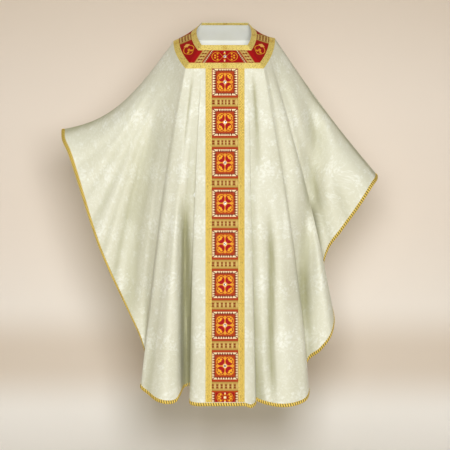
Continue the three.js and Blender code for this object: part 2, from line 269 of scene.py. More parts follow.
def soft_folds(folds, seed, valleys=()):
    """Valleys where they are listed, and a gentle unevenness between them that the stiff orphrey damps."""
    waves = np.random.default_rng(seed).uniform([90, 0, -2.5, 0.6], [260, 2 * math.pi, 2.5, 1.4], (7, 4))

    def depth(stop, along, t, near_seam, x, z):
        total = np.zeros_like(t)
        for width, deep, line in valleys:
            line_x, line_z = np.array(line, float).T
            part = (line_z[0] - z) / (line_z[0] - line_z[-1])
            centre = np.interp(-z, -line_z, line_x)
            total -= deep * np.exp(-((x - centre) / width) ** 2) * ease(0, 0.3, part) * ease(1.1, 0.8, part)
        for centre, width, deep, start, end in folds:
            fade = ease(start, mix(start, end, 0.35), t) * (1 - ease(mix(start, end, 0.6), end + 0.1, t))
            total -= deep * np.exp(-((stop - centre) / width) ** 2) * fade
        ripple = sum(size * np.sin(2 * math.pi * along / length + phase + lean * t)
                     for length, phase, lean, size in waves)
        beside = 1 - np.exp(-((stop - 3.5) / 1.9) ** 6)
        return total + 1.5 * ripple * beside * (1 - near_seam ** 4) * ease(0.1, 0.9, t)

    return depth


front = Panel("front", -1, FRONT_LINES, FRONT_CORNERS, CHEST, soft_folds(FRONT_FOLDS, 3, FRONT_VALLEYS),
              EARLY_SPREAD)
back = Panel("back", 1, BACK_LINES, BACK_CORNERS, SHOULDERS, soft_folds(BACK_FOLDS, 8))


# ---------------------------------------------------------------- making cloth
def mesh_object(name, bm, material):
    mesh = bpy.data.meshes.new(name)
    for edge in bm.edges:
        edge.smooth = edge.is_manifold and edge.calc_face_angle(0) < math.radians(50)
    for face in bm.faces:
        face.smooth = True
    bm.to_mesh(mesh)
    bm.free()
    piece = bpy.data.objects.new(name, mesh)
    bpy.context.scene.collection.objects.link(piece)
    mesh.materials.append(material)
    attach(piece, "root")
    return piece


def hollows(points, columns, rows):
    """How deep each point of a panel lies in a fold, from 0 to 1, against the cloth to either side; the
    damask's painted fold shade follows it.
    """
    out = np.abs(points[:, 1]).reshape(rows + 1, columns + 1)
    total = np.zeros_like(out)
    for reach, deep in ((4, 0.007), (11, 0.02)):
        padded = np.pad(out, ((0, 0), (reach, reach)), mode="edge")
        sums = np.cumsum(np.pad(padded, ((0, 0), (1, 0))), axis=1)
        mean = (sums[:, 2 * reach + 1:] - sums[:, :-2 * reach - 1]) / (2 * reach + 1)
        total = np.maximum(total, (mean - out) / deep)
    return np.clip(total, 0, 1).ravel()


def cloth(name, material, columns, rows, place, cut, thickness, folded=False):
    """A piece of cloth: a grid laid on the garment by place, cut out of flat cloth by cut, then given its
    thickness. Both take parts across (0 left, 1 right) and up (0 lower edge, 1 upper edge). A folded one
    also notes on each point how deep in a fold it lies."""
    bm = bmesh.new()
    bmesh.ops.create_grid(bm, x_segments=columns, y_segments=rows, size=0.5)
    parts = np.array([vert.co[:2] for vert in bm.verts]) + 0.5
    across, up = parts.T
    points = place(across, up)
    for vert, point in zip(bm.verts, points):
        vert.co = point
    if folded:
        fold_shade_depth = bm.verts.layers.float.new("fold_shade_depth")
        order = np.lexsort((across, up))
        deep = np.empty(len(order))
        deep[order] = hollows(points[order], columns, rows)
        for vert, value in zip(bm.verts, deep):
            vert[fold_shade_depth] = value
    uvs = cut(across, up)
    layer = bm.loops.layers.uv.new("cut")
    for face in bm.faces:
        for loop in face.loops:
            loop[layer].uv = uvs[loop.vert.index]
    bm.normal_update()
    bmesh.ops.solidify(bm, geom=bm.faces[:], thickness=thickness * MM)
    return mesh_object(name, bm, material)


def panel_cut(panel, columns, rows, place):
    """Where each point of a panel lies on the flat damask, in metres: out from the centre along the cloth,
    and down along the cloth from the neck."""
    across, up = np.meshgrid(np.linspace(0, 1, columns + 1), np.linspace(1, 0, rows + 1))
    points = place(across.ravel(), up.ravel()).reshape(rows + 1, columns + 1, 3)
    run = np.hypot(*np.moveaxis(np.diff(points[..., :2], axis=1), -1, 0))
    u = np.concatenate([np.zeros((rows + 1, 1)), np.cumsum(run, axis=1)], axis=1)
    middle = np.argmin(np.abs(points[-1, :, 0]))
    u -= u[:, middle:middle + 1]
    fall = np.hypot(*np.moveaxis(np.diff(points[..., 1:], axis=0), -1, 0))
    v = -points[:1, :, 2] + np.concatenate([np.zeros((1, columns + 1)), np.cumsum(fall, axis=0)])
    flat = np.stack([u, -v], axis=-1)

    def cut(across, up):
        c = np.rint(across * columns).astype(int)
        r = np.rint((1 - up) * rows).astype(int)
        return flat[r, c]

    return cut


BAND_ROWS, BODY_ROWS = 8, 108
PANEL_ROWS = BAND_ROWS + BODY_ROWS


def panel_down(up):
    """Rows of a panel: a few across the neck band, the rest from its rim to the outer edge."""
    row = (1 - up) * PANEL_ROWS
    return np.where(row <= BAND_ROWS, row / BAND_ROWS - 1, (row - BAND_ROWS) / BODY_ROWS)


def outward(panel, across):
    """Columns run from left to right for whoever faces the panel."""
    return across if panel.side < 0 else 1 - across


def panel_sheets(panel, damask, lining):
    columns = round(panel.length / CLOTH_STEP)
    sheets = []
    for part, material, height, thickness in (("panel", damask, 0, DAMASK),
                                              ("lining", lining, -LINING_DROP, LINING)):
        def place(across, up):
            along = outward(panel, across) * panel.length
            return panel.lift(along, panel_down(up), height)

        cut = panel_cut(panel, columns, PANEL_ROWS, place)
        node = f"{panel.name}_{part}"
        piece = cloth(f"{node}_cloth", material, columns, PANEL_ROWS, place, cut, thickness, folded=True)
        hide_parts(node)
        "damask" if part == "panel" else "lining"
        sheets.append(piece)
    return sheets


def ribbon_down_panel(panel, name, left_stop, right_stop, material):
    """A ribbon sewn on a panel between two stops, from the neck band to the edge braid."""
    start, end = panel.at_stop[left_stop], panel.at_stop[right_stop]
    width = end - start
    braid_top = 1 - BRAID_WIDTH / PANEL_FALL

    def place(across, up):
        along = mix(start, end, outward(panel, across))
        return panel.lift(along, (1 - up) * braid_top, RIBBON_FACE)

    rows = 180
    samples = place(np.full(rows + 1, 0.5), np.linspace(1, 0, rows + 1))
    lengths = np.concatenate([[0], np.cumsum(np.linalg.norm(np.diff(samples, axis=0), axis=1))])

    def cut(across, up):
        run = np.interp(1 - up, np.linspace(0, 1, rows + 1), lengths)
        return np.stack([(across - 0.5) * width * MM, -run], axis=1)

    columns = 16 if width > 2 * GALLOON else 5
    piece = cloth(f"{name}_ribbon", material, columns, rows, place, cut, RIBBON)
    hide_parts(name)
    return piece


def neck_side(name, material, path, inner, outer, node=None, height=RIBBON_FACE):
    """A mitred length of the neck band. path gives panel and place along it for each part across."""
    def down(up):
        return (outer + (inner - outer) * up) / BAND - 1

    def place(across, up):
        points = np.zeros((len(across), 3))
        for panel, mask, along in path(across):
            if mask.any():
                points[mask] = panel.lift(along[mask], down(up)[mask], height)
        return points

    columns = 60
    middle = place(np.linspace(0, 1, columns + 1), np.full(columns + 1, 0.5))
    run = np.concatenate([[0], np.cumsum(np.linalg.norm(np.diff(middle, axis=0), axis=1))])
    run -= run[-1] / 2

    def cut(across, up):
        # Seen square to the ribbon: how far along its middle line each point lies.
        points = place(across, up)
        ahead = np.gradient(middle, axis=0)
        nearest = np.clip(np.rint(across * columns).astype(int), 0, columns)
        along_ribbon = ahead[nearest] / np.linalg.norm(ahead[nearest], axis=1)[:, None]
        offset = np.sum((points - middle[nearest]) * along_ribbon, axis=1)
        return np.stack([run[nearest] + offset, (up - 0.5) * (outer - inner) * MM], axis=1)

    piece = cloth(name, material, columns, 8, place, cut, RIBBON)
    if node:
        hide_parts(node)
    return piece


def neck_paths():
    def straight(panel):
        def path(across):
            along = mix(panel.at_stop[1], panel.at_stop[6], outward(panel, across))
            return [(panel, np.ones(len(across), bool), along)]
        return path

    def left(across):
        to_back = mix(back.at_stop[1], 0, np.minimum(across * 2, 1))
        to_front = mix(0, front.at_stop[1], np.maximum(across * 2 - 1, 0))
        return [(back, across < 0.5, to_back), (front, across >= 0.5, to_front)]

    def right(across):
        to_front = mix(front.at_stop[6], front.length, np.minimum(across * 2, 1))
        to_back = mix(back.length, back.at_stop[6], np.maximum(across * 2 - 1, 0))
        return [(front, across <= 0.5, to_front), (back, across > 0.5, to_back)]

    return {"front": straight(front), "right": right, "back": straight(back), "left": left}


def edge_braid(panel, material):
    """A ribbed braid folded over the outer edge of a panel, from shoulder tip to shoulder tip."""
    steps, around = round(panel.length / BRAID_STEP), BRAID_SIDES
    half, tall = BRAID_WIDTH / 2, BRAID_HEIGHT / 2
    lengths = np.linspace(0, panel.length, steps + 1)
    edge = panel.face(lengths, np.ones(steps + 1))
    inside = panel.face(lengths, np.full(steps + 1, 0.985))
    inward = inside - edge
    inward /= np.linalg.norm(inward, axis=1)[:, None]
    normal = panel.square(lengths, np.full(steps + 1, 0.995))
    run = np.concatenate([[0], np.cumsum(np.linalg.norm(np.diff(edge, axis=0), axis=1))])

    bm = bmesh.new()
    bmesh.ops.create_grid(bm, x_segments=steps, y_segments=around, size=0.5)
    parts = np.array([vert.co[:2] for vert in bm.verts]) + 0.5
    i = np.rint(parts[:, 0] * steps).astype(int)
    turn = parts[:, 1] * 2 * math.pi
    twist = np.cos(2 * math.pi * (run[i] + 1.7 * np.cos(turn)) / BRAID_TWIST)
    plump = 1 + 0.22 * twist
    out = half * (0.94 + 0.06 * twist) * np.cos(turn)
    up = tall * plump * np.sin(turn)
    centre = edge[i] + inward[i] * (half - BRAID_OVERHANG) - normal[i] * BRAID_SINK
    places = (centre + inward[i] * out[:, None] + normal[i] * up[:, None]) * MM
    layer = bm.loops.layers.uv.new("cut")
    for face in bm.faces:
        for loop in face.loops:
            k = loop.vert.index
            loop[layer].uv = (run[i[k]] * MM, parts[k, 1] * 2 * (half + tall) * MM)
    for vert, place in zip(bm.verts, places):
        vert.co = place
    bmesh.ops.remove_doubles(bm, verts=bm.verts[:], dist=1e-6)
    bmesh.ops.holes_fill(bm, edges=[edge for edge in bm.edges if edge.is_boundary], sides=0)
    bmesh.ops.recalc_face_normals(bm, faces=bm.faces[:])
    piece = mesh_object(f"{panel.name}_edge_braid_rope", bm, material)
    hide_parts(f"{panel.name}_edge_braid")
    return piece


def stone_on(panel, node, along, down, crystal, setting):
    """A faceted stone in a thin round setting, sewn through the ribbon."""
    base = panel.lift(np.array([along]), np.array([down]), STONE_SEAT)[0]
    normal = panel.square(np.array([along]), np.array([down]))[0]
    turn = Vector((0, 0, 1)).rotation_difference(Vector(normal)).to_matrix().to_4x4()
    place = Matrix.Translation(base) @ turn
    radius = STONE / 2 * MM
    bm = bmesh.new()
    for low, high, bottom, top in ((0.0, 0.9, radius, radius), (0.9, 2.5, radius, 0.55 * radius)):
        middle = Matrix.Translation((0, 0, (low + high) / 2 * MM))
        bmesh.ops.create_cone(bm, cap_ends=True, segments=12, radius1=bottom, radius2=top,
                              depth=(high - low) * MM, matrix=middle)
    bmesh.ops.remove_doubles(bm, verts=bm.verts[:], dist=1e-6)
    inner = [face for face in bm.faces if abs(face.calc_center_median().z - 0.9 * MM) < 1e-6]
    bmesh.ops.delete(bm, geom=inner, context="FACES_ONLY")
    bmesh.ops.transform(bm, matrix=place, verts=bm.verts[:])
    stone = mesh_object(f"{node}_stone", bm, crystal)
    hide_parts(node)

    bm = bmesh.new()
    rim = bmesh.ops.create_circle(bm, cap_ends=False, segments=8, radius=1.1 * MM,
                                  matrix=Matrix.Translation((radius + 0.9 * MM, 0, 0.7 * MM))
                                  @ Matrix.Rotation(math.pi / 2, 4, "X"))
    bmesh.ops.spin(bm, geom=rim["verts"] + list({e for v in rim["verts"] for e in v.link_edges}),
                   cent=(0, 0, 0), axis=(0, 0, 1), angle=2 * math.pi, steps=24, use_merge=True)
    bmesh.ops.remove_doubles(bm, verts=bm.verts[:], dist=1e-6)
    bmesh.ops.recalc_face_normals(bm, faces=bm.faces[:])
    bmesh.ops.transform(bm, matrix=place, verts=bm.verts[:])
    ring = mesh_object(f"{node}_setting", bm, setting)
    return [stone, ring]


# ---------------------------------------------------------------- finishes
class Field:
    """A number that varies over a finish: sums and products of fields add the Math nodes."""

    def __init__(self, finish, socket):
        self.finish, self.socket = finish, socket

    def maths(self, operation, *others):
        made = self.finish.node("ShaderNodeMath", {"operation": operation}, dict(enumerate((self, *others))))
        return Field(self.finish, made.outputs[0])

    def reflected(self, operation, other):
        made = self.finish.node("ShaderNodeMath", {"operation": operation}, {0: other, 1: self})
        return Field(self.finish, made.outputs[0])

    def __add__(self, other):
        return self.maths("ADD", other)

    __radd__ = __add__

    def __mul__(self, other):
        return self.maths("MULTIPLY", other)

    __rmul__ = __mul__

    def __sub__(self, other):
        return self.maths("SUBTRACT", other)

    def __rsub__(self, other):
        return self.reflected("SUBTRACT", other)

    def __truediv__(self, other):
        return self.maths("DIVIDE", other)

    def __rtruediv__(self, other):
        return self.reflected("DIVIDE", other)

    def __pow__(self, other):
        return self.maths("POWER", other)

    def __abs__(self):
        return self.maths("ABSOLUTE")

    def __lt__(self, other):
        return self.maths("LESS_THAN", other)

    def __gt__(self, other):
        return self.maths("GREATER_THAN", other)

    def sin(self):
        return self.maths("SINE")

    def cos(self):
        return self.maths("COSINE")

    def fract(self):
        return self.maths("FRACT")

    def floor(self):
        return self.maths("FLOOR")

    def least(self, other):
        return self.maths("MINIMUM", other)

    def most(self, other):
        return self.maths("MAXIMUM", other)

    def wave(self, period):
        """0 at every whole period, 1 half way between, in straight slopes."""
        return self.maths("PINGPONG", period / 2) / (period / 2)

    def soft(self, low, high):
        """0 below low, 1 above high (or the other way round), and smooth between."""
        made = self.finish.node("ShaderNodeMapRange", {"interpolation_type": "SMOOTHSTEP"},
                                {0: self, 1: low, 2: high})
        return Field(self.finish, made.outputs[0])


def distance(x, y):
    return (x * x + y * y) ** 0.5


class Finish:
    """A procedural material and the ways its nodes are added."""

    def __init__(self, name, roughness=0.5, metallic=0.0, sheen=0.0, specular=0.5, coat=0.0):
        self.material = bpy.data.materials.new(name)
        self.material.use_nodes = True
        self.tree = self.material.node_tree
        self.surface = self.tree.nodes["Principled BSDF"]
        self.set(Roughness=roughness, Metallic=metallic)
        self.surface.inputs["Sheen Weight"].default_value = sheen
        self.surface.inputs["Specular IOR Level"].default_value = specular
        self.surface.inputs["Coat Weight"].default_value = coat

    def node(self, kind, settings=None, sockets=None):
        made = self.tree.nodes.new(kind)
        for name, value in (settings or {}).items():
            setattr(made, name, value)
        for name, value in (sockets or {}).items():
            if isinstance(value, Field):
                self.tree.links.new(value.socket, made.inputs[name])
            elif value is not None:
                made.inputs[name].default_value = value
        return made

    def set(self, **sockets):
        for name, value in sockets.items():
            socket = self.surface.inputs[name.replace("_", " ")]
            if isinstance(value, Field):
                self.tree.links.new(value.socket, socket)
            else:
                socket.default_value = value

    def cut(self):
        """Across and along the flat cloth, in millimetres, from the piece's own UV map."""
        uv = self.node("ShaderNodeUVMap", {"uv_map": "cut"})
        parts = self.node("ShaderNodeSeparateXYZ", None, {0: Field(self, uv.outputs[0])})
        return [Field(self, parts.outputs[k]) * 1000 for k in (0, 1)]

    def flat(self, x, y):
        made = self.node("ShaderNodeCombineXYZ", None, {0: x, 1: y})
        return Field(self, made.outputs[0])

    def noise(self, place, scale, detail=3.0, roughness=0.5):
        made = self.node("ShaderNodeTexNoise", None,
                         {"Vector": place, "Scale": scale, "Detail": detail, "Roughness": roughness})
        return Field(self, made.outputs[0])

    def blend(self, factor, first, second):
        """A colour between two others; each is a colour or another blend."""
        made = self.node("ShaderNodeMix", {"data_type": "RGBA"}, {0: factor, 6: first, 7: second})
        return Field(self, made.outputs[2])

    def relief(self, height, depth):
        """Bump of a height from 0 to 1, with its depth in millimetres."""
        made = self.node("ShaderNodeBump", None, {"Height": height, "Distance": depth * MM, "Strength": 1.0})
        return Field(self, made.outputs[0])

    def place(self):
        made = self.node("ShaderNodeTexCoord")
        return Field(self, made.outputs["Object"])


def thread(red, green, blue):
    """The colour of a dyed thread, given as red, green and blue from 0 to 255, as the shader takes it."""
    def linear(value):
        value /= 255
        return value / 12.92 if value <= 0.04045 else ((value + 0.055) / 1.055) ** 2.4
    return (linear(red), linear(green), linear(blue), 1.0)


IVORY = thread(223, 221, 200)
IVORY_SATIN = thread(242, 242, 230)
IVORY_SHADE = thread(216, 213, 188)
LINING_IVORY = thread(249, 250, 243)
# Painted shade: the dim greenish khaki laid into the damask's folds.
KHAKI_FOLD_SHADE = thread(140, 137, 86)
GOLD = thread(238, 202, 88)
PALE_GOLD = thread(250, 230, 134)
DARK_GOLD = thread(150, 108, 34)
OLIVE_GOLD = thread(178, 138, 66)
BRICK = thread(170, 60, 34)
ORANGE_RED = thread(182, 66, 18)
DEEP_RED = thread(166, 8, 14)
DARK_RED = thread(112, 22, 14)
YELLOW = thread(242, 170, 36)
CREAM = thread(248, 230, 184)


def damask_finish():
    """Ivory satin damask: leafy palmettes in rows set half a step aside, with broken foliage between."""
    finish = Finish("ivory_damask", sheen=0.2, specular=0.4)
    x, y = finish.cut()
    drift = finish.noise(finish.flat(x, y), 0.014, detail=2.0) - 0.5
    swirl = finish.noise(finish.flat(y, x), 0.05, detail=3.0) - 0.5
    x2, y2 = x + drift * 60 + swirl * 16, y + drift * 44 - swirl * 14

    def palmette(width, height, shift_x, shift_y, size, petals, tilt):
        aside = (((y2 + shift_y) / height).floor() * 0.5).fract() * width
        px = ((x2 + shift_x + aside) / width).fract() * width - width / 2
        py = ((y2 + shift_y) / height).fract() * height - height / 2
        radius = distance(px, py)
        angle = px.maths("ARCTAN2", py) + tilt
        petal = abs((angle * (petals / 2)).cos()) ** 0.7
        reach = size * 0.25 + petal * size * 0.65 + (angle * petals * 4.5).cos() * 0.07 * size
        veins = (radius / (size * 0.11) + petal * 2.4).sin().soft(0.35, 0.9)
        return (reach - radius).soft(-1.2, 1.2) * (1 - veins * 0.75)

    big = palmette(150, 188, 0, 0, 52, 5, 0.3)
    small = palmette(150, 188, 75, 30, 30, 6, 0.0)
    sprig = palmette(75, 94, 20, 47, 17, 4, 0.8)
    leafy = finish.noise(finish.flat(x2, y2 * 0.8), 0.045, detail=4.0, roughness=0.6)
    foliage = abs(leafy - 0.5).soft(0.04, 0.02) * 0.5
    motif = big.most(small).most(sprig).most(foliage)
    worn = finish.noise(finish.flat(x, y), 0.1, detail=4.0, roughness=0.65)
    motif = motif * worn.soft(0.34, 0.62)

    weft = (y * (2 * math.pi / 0.9)).sin()
    warp = ((x + y * 0.5) * (2 * math.pi / 1.1)).sin()
    weave = (weft * (1 - motif) + warp * motif) * 0.5 + 0.5
    soil = finish.noise(finish.flat(x, y), 0.006, detail=4.0)
    slub = finish.noise(finish.flat(x * 0.05, y), 0.9, detail=2.0)
    colour = finish.blend(soil.soft(0.35, 0.75) * 0.6, IVORY, IVORY_SHADE)
    colour = finish.blend(motif * 0.75, colour, IVORY_SATIN)
    colour = finish.blend(slub.soft(0.55, 0.75) * 0.15, colour, IVORY_SHADE)
    # Painted shade: the damask turns khaki the deeper it lies in a fold.
    fold_shade_depth = Field(finish, finish.node("ShaderNodeAttribute", {"attribute_name": "fold_shade_depth"}).outputs["Fac"])
    colour = finish.blend(fold_shade_depth * 0.75, colour, KHAKI_FOLD_SHADE)
    finish.set(Base_Color=colour, Roughness=0.5 - motif * 0.14 + slub * 0.06)
    finish.set(Normal=finish.relief(weave * 0.25 + motif * 0.6 + slub * 0.15, 0.3))
    return finish.material


def lining_finish():
    finish = Finish("ivory_lining", sheen=0.15, specular=0.5)
    x, y = finish.cut()
    twill = ((x + y) * (2 * math.pi / 1.2)).sin() * 0.5 + 0.5
    cloud = finish.noise(finish.flat(x, y), 0.01)
    finish.set(Base_Color=finish.blend(cloud.soft(0.3, 0.8), LINING_IVORY, IVORY_SATIN),
               Roughness=0.36 + cloud * 0.1)
    finish.set(Normal=finish.relief(twill, 0.08))
    return finish.material


def gold_finish():
    """Plain galloon of gold thread: ribbed across, with paler selvedges and lines of stitches."""
    finish = Finish("gold_galloon", specular=0.5)
    x, y = finish.cut()
    side = abs(x)
    rib = abs((y * (math.pi / 1.3)).sin())
    twill = ((x * 0.8 + y) * (2 * math.pi / 2.1)).sin() * 0.5 + 0.5
    glint = finish.noise(finish.flat(x * 1.4, y), 0.4, detail=2.0, roughness=0.7)
    shade = finish.noise(finish.flat(x, y * 0.4), 0.02, detail=3.0)
    selvedge = side.soft(5.8, 7.2)
    stitch = abs(side - 9.2).soft(0.6, 0.3) * y.wave(3.2).soft(0.3, 0.5)
    twining = abs(x.wave(7.2) - y.wave(9.6)).soft(0.34, 0.14)
    colour = finish.blend(shade.soft(0.35, 0.75) * 0.5, GOLD, PALE_GOLD)
    colour = finish.blend(selvedge * 0.55, colour, PALE_GOLD)
    speck = finish.noise(finish.flat(x, y), 0.22, detail=2.0, roughness=0.7)
    colour = finish.blend(glint.soft(0.5, 0.7) * 0.25 + speck.soft(0.5, 0.64) * 0.6, colour, DARK_GOLD)
    colour = finish.blend(stitch * 0.5 + twining * 0.35 * (1 - selvedge), colour, DARK_GOLD)
    finish.set(Base_Color=colour, Roughness=0.36 + glint * 0.25, Metallic=0.4 - glint * 0.25)
    finish.set(Normal=finish.relief(rib * 0.6 + twill * 0.4 + selvedge * 0.4 - stitch, 0.4))
    return finish.material


def braid_finish():
    finish = Finish("gold_edge_braid", specular=0.5)
    run, around = finish.cut()
    lean = run + (around * (2 * math.pi / (2 * (BRAID_WIDTH / 2 + BRAID_HEIGHT / 2)))).cos() * 1.7
    strand = ((run + around * 0.9) * (2 * math.pi / 0.9)).sin() * 0.5 + 0.5
    rib = abs((lean * (math.pi / BRAID_TWIST)).cos())
    worn = finish.noise(finish.flat(run, around), 0.03, detail=3.0)
    # Painted shade: the near-black brown falls in the grooves between the twists, the gold on their crests.
    colour = finish.blend(rib.soft(0.4, 0.7), thread(74, 50, 8), thread(252, 218, 104))
    colour = finish.blend(worn.soft(0.45, 0.8) * 0.35, colour, thread(176, 134, 56))
    finish.set(Base_Color=colour, Roughness=0.42 + strand * 0.12, Metallic=0.25 + worn * 0.1)
    finish.set(Normal=finish.relief(strand, 0.2))
    return finish.material


class Weave:
    """The woven orphrey, painted thread by thread: each colour goes over what is there by a mask."""

    def __init__(self, finish, ground):
        self.finish, self.colour = finish, ground
        self.gold = None

    def over(self, mask, colour, gold=False):
        self.colour = self.finish.blend(mask, self.colour, colour)
        if gold:
            self.gold = mask if self.gold is None else self.gold.most(mask)

    def cover(self, mask, weave):
        self.colour = self.finish.blend(mask, self.colour, weave.colour)
        self.gold = self.gold * (1 - mask) + weave.gold * mask


def frame_and_field(weave, qx, qy, x, y, half_x, half_y, lid):
    """Brick border, thicker by a lid at top and bottom, cream zigzag with boxed corners, orange-red field."""
    weave.over((half_y - qy).soft(2.0, 2.6), ORANGE_RED)
    inside = (half_x - qx).least(half_y - lid - qy)
    weave.over(abs(inside).soft(1.6, 1.0), BRICK)
    weave.over((half_x - qx).soft(2.6, 2.0), BRICK)
    on_side = ((half_y - lid - qy) - (half_x - qx)).soft(-0.3, 0.3)
    tooth = y.wave(8.6) * on_side + x.wave(8.6) * (1 - on_side)
    track = inside.soft(1.8, 2.2) * inside.soft(11.2, 10.8)
    weave.over(track, thread(132, 40, 20))
    weave.over((tooth * 8.0 - inside + 1.4).soft(-0.5, 0.5) * track, CREAM, gold=True)
    corner = qx.soft(half_x - 11.4, half_x - 11.0) * qy.soft(half_y - lid - 11.4, half_y - lid - 11.0) * track
    weave.over(corner, CREAM)
    across = abs((half_x - 6.4 - qx) - (half_y - lid - 6.4 - qy))
    weave.over(corner * across.soft(2.6, 1.8), thread(120, 34, 16))
    weave.over(inside.soft(11.2, 11.8), ORANGE_RED)
    weave.over(abs(inside - 13.6).soft(0.9, 0.5), BRICK)


def four_lobed_cross(weave, qx, qy):
    """Four gold fleurons, each in a dark-red crescent and a gold scroll, parted by a slender gold cross."""
    lobe = distance(qx - 14.7, qy - 14.9)
    weave.over(lobe.soft(15.9, 15.2) * qx.soft(30.0, 29.4) * qy.soft(31.0, 30.4), YELLOW, gold=True)
    weave.over(lobe.soft(13.8, 13.2), DEEP_RED)
    bloom = distance(qx - 17.4, qy - 17.8).soft(5.2, 4.4)
    for dx, dy, size in ((12.8, 22.2, 3.6), (22.2, 12.8, 3.6), (21.4, 22.0, 5.8)):
        bloom = bloom.most(distance(qx - dx, qy - dy).soft(size, size - 0.8))
    weave.over(bloom * lobe.soft(13.2, 12.6), YELLOW, gold=True)
    weave.over(distance(qx - 20.6, qy - 21.4).soft(3.0, 2.2), DARK_RED)
    reach = qx.most(qy)
    flare = reach.soft(20, 29) * 2.6
    arms = (qx.least(qy) - flare).soft(1.3, 0.8) * reach.soft(31.0, 30.4)
    weave.over(arms, thread(232, 158, 44), gold=True)
    weave.over(distance(qx, qy).soft(7.4, 6.8), thread(240, 204, 168), gold=True)


def loops_and_buds(weave, qx, qy, wide, tall):
    """Two gold loops lying on their sides, pointed where they meet, each round a trefoil, with small buds."""
    middle = wide * 0.56
    taper = qx.soft(-2, middle) * 0.8 + 0.2
    loop = distance((qx - middle) / (wide * 0.46), qy / taper / (tall / 2))
    line = 1.5 / (tall / 2)
    weave.over(loop.soft(1.0, 0.95) * loop.soft(1 - 1.7 * line, 1 - 1.2 * line), YELLOW, gold=True)
    bloom = distance(qx - middle, qy).soft(3.4, 2.7)
    for dx, dy, size in ((-0.5, 0.3 * tall, 3.6), (0.18 * wide, 0.12 * tall, 3.6)):
        bloom = bloom.most(distance(qx - middle - dx, qy - dy).soft(size, size - 0.7))
    weave.over(bloom, YELLOW, gold=True)
    weave.over(distance(qx - middle - 0.05 * wide, qy).soft(1.6, 1.0), DEEP_RED)
    weave.over((qx * 0.9 + abs(qy - 0.33 * tall)).soft(4.2, 3.4), YELLOW, gold=True)
    weave.over(distance(qx, qy - 0.45 * tall).soft(2.6, 2.0), CREAM, gold=True)
    weave.over(distance(qx, qy).soft(4.6, 4.0), CREAM, gold=True)


def dotted_bar(weave, x, y, pitch=14.65, shift=3.4):
    """Olive-gold ground with pairs of dark lozenges between pale ovals. y is from the bar's middle."""
    cell = ((x - shift) / pitch + 0.5).fract() * pitch - pitch / 2
    oval = distance((pitch / 2 - abs(cell)) * 2.6, y * 0.9).soft(9.0, 8.0)
    weave.over(oval * 0.7, thread(226, 196, 118), gold=True)
    dots = (abs(cell) * 0.74 + abs(abs(y) - 4.1)).soft(3.5, 2.8)
    weave.over(dots, thread(128, 24, 10))
    weave.over(abs(abs(y) - 10.6).soft(1.1, 0.6), thread(216, 184, 96), gold=True)


def woven_relief(finish, weave, x, y):
    """Weft ribs everywhere, with the gold threads standing proud and glossy."""
    weft = abs((y * (math.pi / 0.8)).sin())
    warp = abs((x * (math.pi / 0.8)).sin())
    fuzz = finish.noise(finish.flat(x, y), 0.7, detail=2.0)
    colour = finish.blend(fuzz.soft(0.45, 0.8) * 0.15, weave.colour, DARK_RED)
    gold = weave.gold
    finish.set(Base_Color=colour, Roughness=0.7 - gold * 0.22, Metallic=gold * 0.15)
    finish.set(Normal=finish.relief(weft * 0.22 + warp * 0.12 + gold * 0.66, 0.45))


def orphrey_finish():
    """The ribbon down the centre: whole squares with dotted bars between, and a half square at the hem."""
    finish = Finish("woven_orphrey", specular=0.15)
    x, down = finish.cut()
    down = MOTIF_TUCK - down
    y = (down / MOTIF_REPEAT).fract() * MOTIF_REPEAT
    qx = abs(x)
    square = Weave(finish, BRICK)
    qy = abs(y - MOTIF_HEIGHT / 2)
    frame_and_field(square, qx, qy, x, y - MOTIF_HEIGHT / 2, ORPHREY / 2, MOTIF_HEIGHT / 2, 6)
    four_lobed_cross(square, qx, qy)

    bar = Weave(finish, OLIVE_GOLD)
    dotted_bar(bar, x, y - (MOTIF_REPEAT + MOTIF_HEIGHT) / 2)
    square.cover(y.soft(MOTIF_HEIGHT - 0.3, MOTIF_HEIGHT + 0.3), bar)

    last = Weave(finish, BRICK)
    middle = MOTIFS * MOTIF_REPEAT + 22
    qy = abs(down - middle)
    frame_and_field(last, qx, qy * 0, x, down, ORPHREY / 2, 60, 0)
    last.over(qx.soft(31.2, 30.6), DEEP_RED)
    last.over((middle - down).soft(16.6, 17.2), ORANGE_RED)
    loops_and_buds(last, qx, qy, 27, 31)
    square.cover((down - MOTIFS * MOTIF_REPEAT).soft(-0.3, 0.3), last)
    woven_relief(finish, square, x, y)
    return finish.material


def neck_band_finish():
    """The ribbon round the neck: a field with two loops in the middle, then zigzag, bar and side fields."""
    finish = Finish("woven_neck_band", specular=0.15)
    x, y = finish.cut()
    qx, qy = abs(x), abs(y)
    band = Weave(finish, DEEP_RED)
    loops_and_buds(band, qx, qy, 43, 37)
    # Past the middle field the pattern leans with the mitre.
    lean = qx + y * 0.6
    stripes = ((49, BRICK), (52, DARK_RED), (58, BRICK), (63, OLIVE_GOLD), (86, BRICK), (89, DEEP_RED))
    for start, colour in stripes:
        band.over(lean.soft(start - 0.4, start + 0.4), colour)
    band.over(abs(lean - 53.2 - y.wave(6) * 3.6).soft(1.5, 0.9), CREAM, gold=True)
    bar = Weave(finish, OLIVE_GOLD)
    dotted_bar(bar, y, lean - 74.5, pitch=11.5, shift=0)
    band.cover(lean.soft(62.6, 63.4) * lean.soft(86.4, 85.6), bar)
    woven_relief(finish, band, x, y)
    return finish.material


